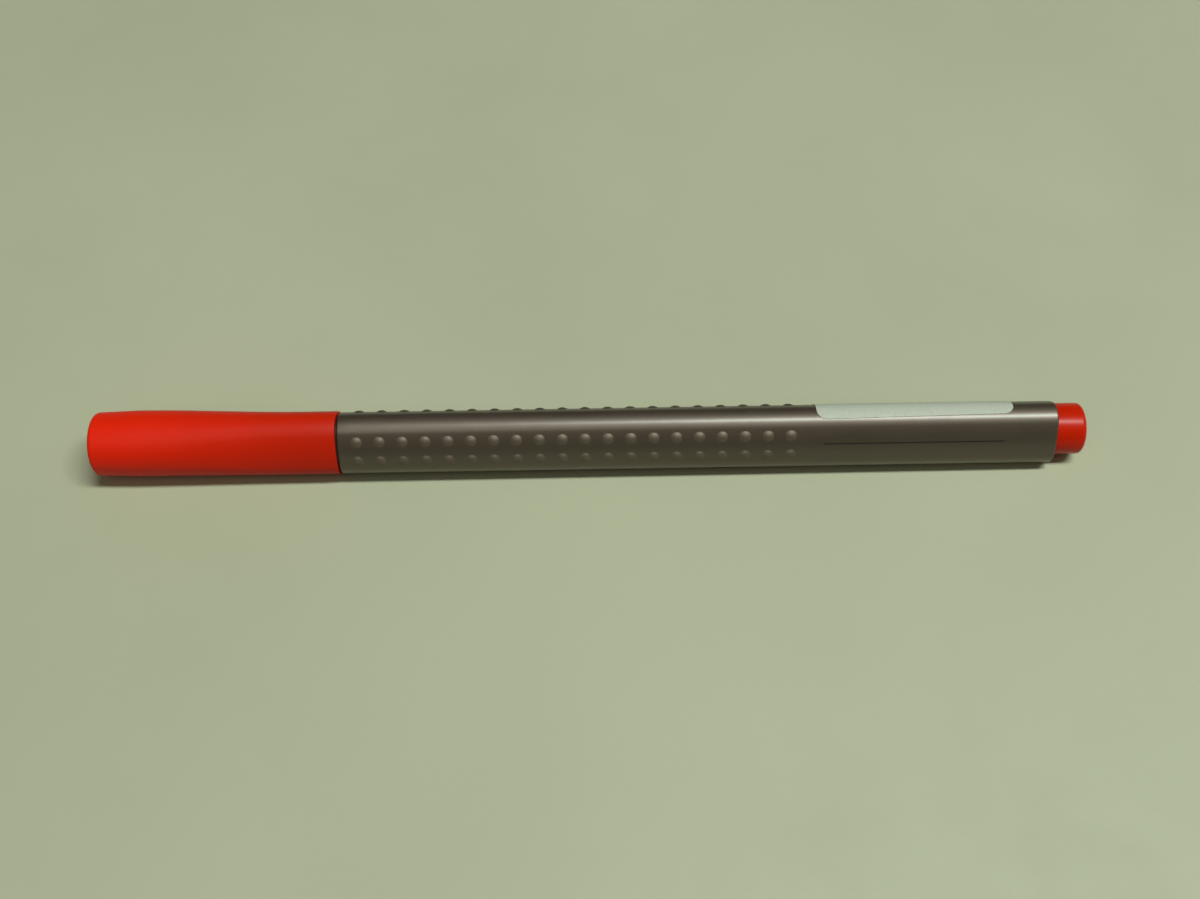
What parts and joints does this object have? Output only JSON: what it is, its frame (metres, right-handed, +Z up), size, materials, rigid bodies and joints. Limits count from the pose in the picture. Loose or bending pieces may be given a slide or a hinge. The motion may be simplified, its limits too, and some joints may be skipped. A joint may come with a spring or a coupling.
{
  "type": "fineliner pen",
  "caption": "Capped fineliner pen with a rounded-triangle grip barrel, rows of raised dots, a pull-off cap that turns from triangular to round, and a round end plug.",
  "frame": {"origin": "bottom centre of the closed pen's box", "axes": "+X along the pen from the cap to the end plug, +Y away from the viewer, +Z up, with one face of the barrel down"},
  "size_m": [0.16, 0.0108, 0.0109],
  "materials": {
    "barrel_plastic": "metallic silver-grey moulded plastic, semi-gloss",
    "red_plastic": "orange-red moulded plastic, semi-gloss",
    "liner_plastic": "natural soft plastic",
    "section_plastic": "black moulded plastic, satin",
    "tip_steel": "drawn stainless steel",
    "tip_fibre": "bonded plastic fibre, ink-stained",
    "ink_fibre": "bonded polyester fibre soaked in ink",
    "sleeve_film": "thin clear film",
    "label_paper": "bare white paper"
  },
  "bodies": {
    "pen": {"barrel": "barrel_plastic", "front_section": "section_plastic", "tip_tube": "tip_steel", "fibre_tip": "tip_fibre", "ink_wick": "ink_fibre", "ink_reservoir": "ink_fibre", "reservoir_sleeve": "sleeve_film", "end_plug": "red_plastic", "price_label": "label_paper"},
    "cap": {"cap_shell": "red_plastic", "cap_liner": "liner_plastic"}
  },
  "joints": [
    {"name": "cap_pull", "type": "slide", "parent": "pen", "child": "cap", "axis": [-1, 0, 0], "range_m": [0, 0.04]}
  ]
}
